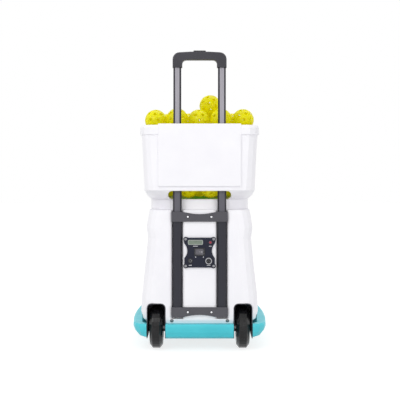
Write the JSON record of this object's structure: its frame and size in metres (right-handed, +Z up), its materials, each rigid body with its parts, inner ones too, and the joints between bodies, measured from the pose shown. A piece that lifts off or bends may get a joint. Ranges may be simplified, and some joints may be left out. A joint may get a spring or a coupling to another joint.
{
  "type": "pickleball machine",
  "caption": "Wheeled pickleball throwing machine: lift-off ball hopper over a feeder disc, tilting launch wheels in a moulded body, telescopic trolley handle.",
  "frame": {"origin": "on the floor, under the middle of the bounding box", "axes": "+Z up, -Y towards the operator, on the side with the handle and the control panel, +Y the way the balls are thrown, +X to the operator's right"},
  "size_m": [0.4612, 0.51, 0.993],
  "materials": {
    "white_plastic": "satin moulded",
    "teal_plastic": "satin moulded",
    "black_plastic": "fine texture",
    "grip_plastic": "fine texture",
    "navy_plastic": "satin",
    "red_plastic": "gloss",
    "display_glass": "clear over a pale display",
    "tyre_rubber": "satin rubber",
    "soft_rubber": "matte rubber",
    "dark_tube": "dark anodised",
    "grey_tube": "grey anodised",
    "steel": "plain",
    "aluminium": "plain",
    "gear_nylon": "moulded",
    "board_green": "solder mask",
    "ball_yellow": "moulded"
  },
  "bodies": {
    "machine": {"base_tray": "teal_plastic", "body_shell": "white_plastic", "feeder_deck": "white_plastic", "outlet_bezel": "black_plastic", "left_wheel_well_liner": "black_plastic", "right_wheel_well_liner": "black_plastic", "left_axle": "steel", "right_axle": "steel", "left_front_foot": "soft_rubber", "right_front_foot": "soft_rubber", "left_outer_tube": "dark_tube", "right_outer_tube": "dark_tube", "upper_tube_bracket": "grip_plastic", "lower_tube_bracket": "grip_plastic", "control_panel": "navy_plastic", "display_window": "display_glass", "rocker_bezel": "black_plastic", "remote_socket": "black_plastic", "charging_inlet": "steel", "battery": "black_plastic", "control_board": "board_green", "feed_motor": "steel", "ball_chute": "black_plastic", "yaw_pedestal": "aluminium"},
    "left_wheel": {"left_wheel_hub": "black_plastic", "left_tyre": "tyre_rubber"},
    "right_wheel": {"right_wheel_hub": "black_plastic", "right_tyre": "tyre_rubber"},
    "handle_middle_stage": {"left_middle_tube": "grey_tube", "right_middle_tube": "grey_tube"},
    "handle_top_stage": {"left_top_tube": "grey_tube", "right_top_tube": "grey_tube", "handle_grip": "grip_plastic"},
    "grip_button": {"release_button": "black_plastic"},
    "rocker": {"power_rocker": "grip_plastic"},
    "red_button": {"mode_button": "red_plastic"},
    "hopper_bin": {"hopper_neck": "white_plastic", "hopper": "white_plastic"},
    "ball_load": {"ball_heap": "ball_yellow", "ball_left_corner": "ball_yellow", "ball_left": "ball_yellow", "ball_centre": "ball_yellow", "ball_right": "ball_yellow", "ball_right_corner": "ball_yellow", "ball_behind_left": "ball_yellow", "ball_behind_centre": "ball_yellow", "ball_behind_right": "ball_yellow", "ball_behind_far_right": "ball_yellow", "ball_peak": "ball_yellow"},
    "feeder": {"feeder_disc": "teal_plastic", "feeder_gear": "gear_nylon"},
    "pinion": {"feed_pinion": "steel"},
    "launcher_base": {"launcher_yoke": "steel"},
    "launcher": {"launcher_cradle": "aluminium", "upper_launch_motor": "steel", "lower_launch_motor": "steel"},
    "upper_launch_wheel": {"upper_launch_hub": "black_plastic", "upper_launch_tyre": "soft_rubber"},
    "lower_launch_wheel": {"lower_launch_hub": "black_plastic", "lower_launch_tyre": "soft_rubber"}
  },
  "joints": [
    {"name": "left_wheel_spin", "type": "hinge", "parent": "machine", "child": "left_wheel", "pos_m": [-0.144, -0.185, 0.07], "axis": [1, 0, 0], "continuous": true},
    {"name": "right_wheel_spin", "type": "hinge", "parent": "machine", "child": "right_wheel", "pos_m": [0.144, -0.185, 0.07], "axis": [1, 0, 0], "continuous": true},
    {"name": "handle_middle_slide", "type": "slide", "parent": "machine", "child": "handle_middle_stage", "axis": [0, 0, -1], "range_m": [0, 0.25]},
    {"name": "handle_top_slide", "type": "slide", "parent": "handle_middle_stage", "child": "handle_top_stage", "axis": [0, 0, -1], "range_m": [0, 0.195]},
    {"name": "release_button_press", "type": "slide", "parent": "handle_top_stage", "child": "grip_button", "axis": [0, 0, -1], "range_m": [0, 0.004], "stiffness_N_per_m": 600, "springref_m": -0.001},
    {"name": "power_rocker_tilt", "type": "hinge", "parent": "machine", "child": "rocker", "pos_m": [-0.0002, -0.2348, 0.3264], "axis": [0, 0, 1], "range_deg": [0, 20]},
    {"name": "mode_button_press", "type": "slide", "parent": "machine", "child": "red_button", "axis": [0, 1, 0], "range_m": [0, 0.0015], "stiffness_N_per_m": 500, "springref_m": -0.0005},
    {"name": "hopper_lift", "type": "slide", "parent": "machine", "child": "hopper_bin", "axis": [0, 0, 1], "range_m": [0, 0.54]},
    {"name": "ball_load_lift", "type": "slide", "parent": "hopper_bin", "child": "ball_load", "axis": [0, 0, 1], "range_m": [0, 0.35]},
    {"name": "feeder_spin", "type": "hinge", "parent": "machine", "child": "feeder", "pos_m": [0, -0.0185, 0.464], "axis": [0, 0, 1], "continuous": true},
    {"name": "pinion_spin", "type": "hinge", "parent": "machine", "child": "pinion", "pos_m": [-0.0702, -0.0185, 0.446], "axis": [0, 0, 1], "continuous": true},
    {"name": "launcher_turn", "type": "hinge", "parent": "machine", "child": "launcher_base", "pos_m": [0, 0.085, 0.1], "axis": [0, 0, 1], "range_deg": [-10, 10]},
    {"name": "launcher_tilt", "type": "hinge", "parent": "launcher_base", "child": "launcher", "pos_m": [0, 0.085, 0.275], "axis": [1, 0, 0], "range_deg": [-5, 20]},
    {"name": "upper_launch_spin", "type": "hinge", "parent": "launcher", "child": "upper_launch_wheel", "pos_m": [0, 0.085, 0.372], "axis": [1, 0, 0], "continuous": true},
    {"name": "lower_launch_spin", "type": "hinge", "parent": "launcher", "child": "lower_launch_wheel", "pos_m": [0, 0.085, 0.178], "axis": [1, 0, 0], "continuous": true}
  ],
  "couplings": [
    {"joint": "pinion_spin", "follows": "feeder_spin", "ratio": -3.3333}
  ]
}
